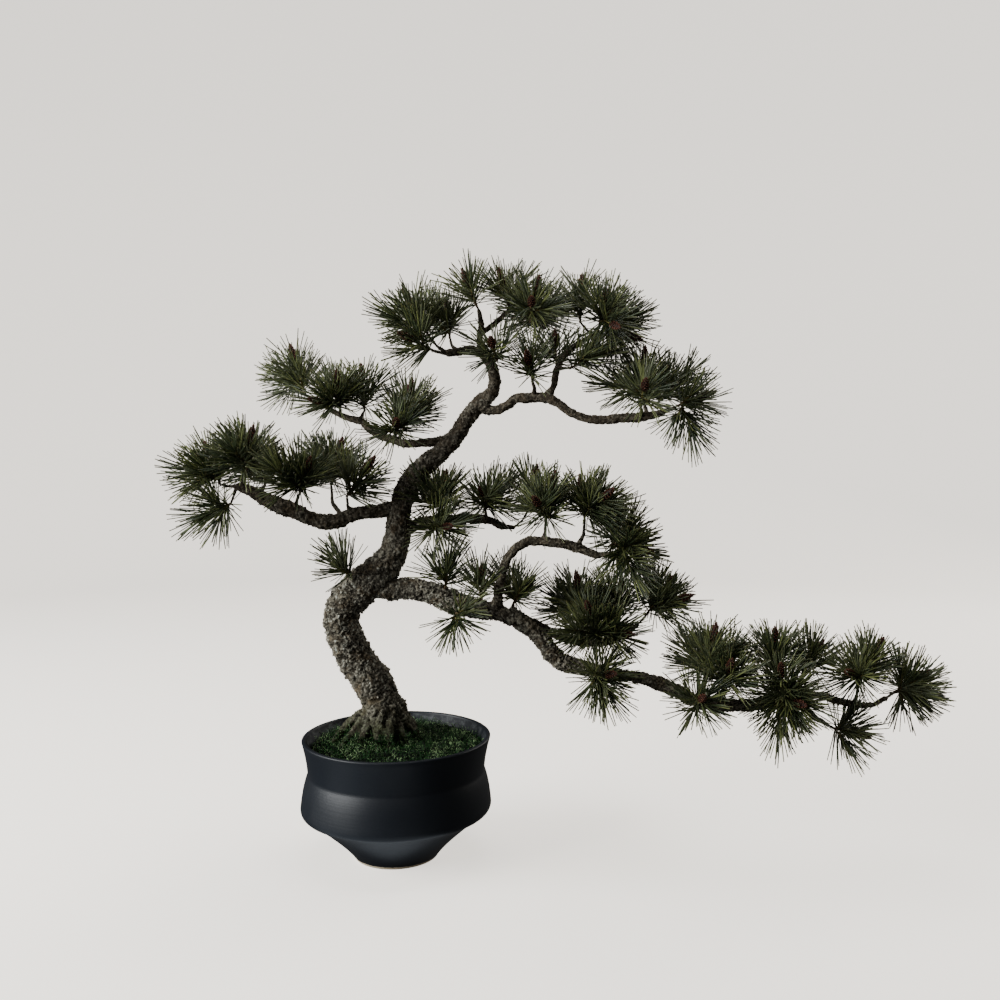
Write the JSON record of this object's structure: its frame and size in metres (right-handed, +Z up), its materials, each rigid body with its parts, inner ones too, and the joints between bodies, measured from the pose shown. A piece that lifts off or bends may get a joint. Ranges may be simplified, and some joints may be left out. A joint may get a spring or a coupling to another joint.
{
  "type": "pine bonsai in a pot",
  "caption": "Cascading pine bonsai with a curved rough trunk, needle sprays and small cones, standing in mossy soil in a round waisted stoneware pot on a narrow foot.",
  "frame": {"origin": "middle of the pot's flat underside, on the surface that it stands on", "axes": "+Z up, +X along the long trailing branch, -Y towards the front"},
  "size_m": [0.822, 0.2246, 0.6448],
  "materials": {
    "stoneware": "matte blue-black stoneware with a bare cream clay ring at the foot",
    "potting_mix": "dark crumbly potting mix",
    "moss": "deep green carpet moss with yellow-green tips",
    "bark": "rough grey-brown bark with grey lichen",
    "needles": "dark green pine needles with a soft gloss",
    "cones": "small reddish brown cones"
  },
  "bodies": {
    "root": {"pot": "stoneware", "soil": "potting_mix", "moss": "moss", "trunk_and_branches": "bark", "spray_left_tip": "needles", "spray_left_top": "needles", "spray_left_hanging": "needles", "spray_left_back": "needles", "spray_left_middle": "needles", "spray_left_inner": "needles", "spray_left_root": "needles", "spray_upper_tip": "needles", "spray_upper_front": "needles", "spray_upper_middle": "needles", "spray_upper_inner": "needles", "spray_upper_burst": "needles", "spray_crown_tip": "needles", "spray_crown_top_left": "needles", "spray_crown_peak": "needles", "spray_crown_low_left": "needles", "spray_crown_peak_right": "needles", "spray_crown_front": "needles", "spray_crown_crest": "needles", "spray_crown_crest_front": "needles", "spray_crown_crest_right": "needles", "spray_crown_heart": "needles", "spray_crown_low_front": "needles", "spray_crown_middle": "needles", "spray_crown_low_right": "needles", "spray_crown_behind": "needles", "spray_right_top": "needles", "spray_right_front": "needles", "spray_right_upper": "needles", "spray_right_tip": "needles", "spray_middle_left": "needles", "spray_middle_burst": "needles", "spray_middle_top": "needles", "spray_middle_peak": "needles", "spray_middle_crest": "needles", "spray_middle_right": "needles", "spray_middle_tip": "needles", "spray_lower_first": "needles", "spray_lower_cone": "needles", "spray_lower_second": "needles", "spray_lower_under": "needles", "spray_inner_crest": "needles", "spray_inner_front": "needles", "spray_inner_top": "needles", "spray_inner_low": "needles", "spray_inner_right": "needles", "spray_tail_first": "needles", "spray_tail_front": "needles", "spray_tail_burst": "needles", "spray_tail_crest": "needles", "spray_tail_heart": "needles", "spray_tail_back": "needles", "spray_tail_right": "needles", "spray_tail_tip": "needles", "spray_tail_fall": "needles", "spray_trunk": "needles"}
  },
  "joints": []
}
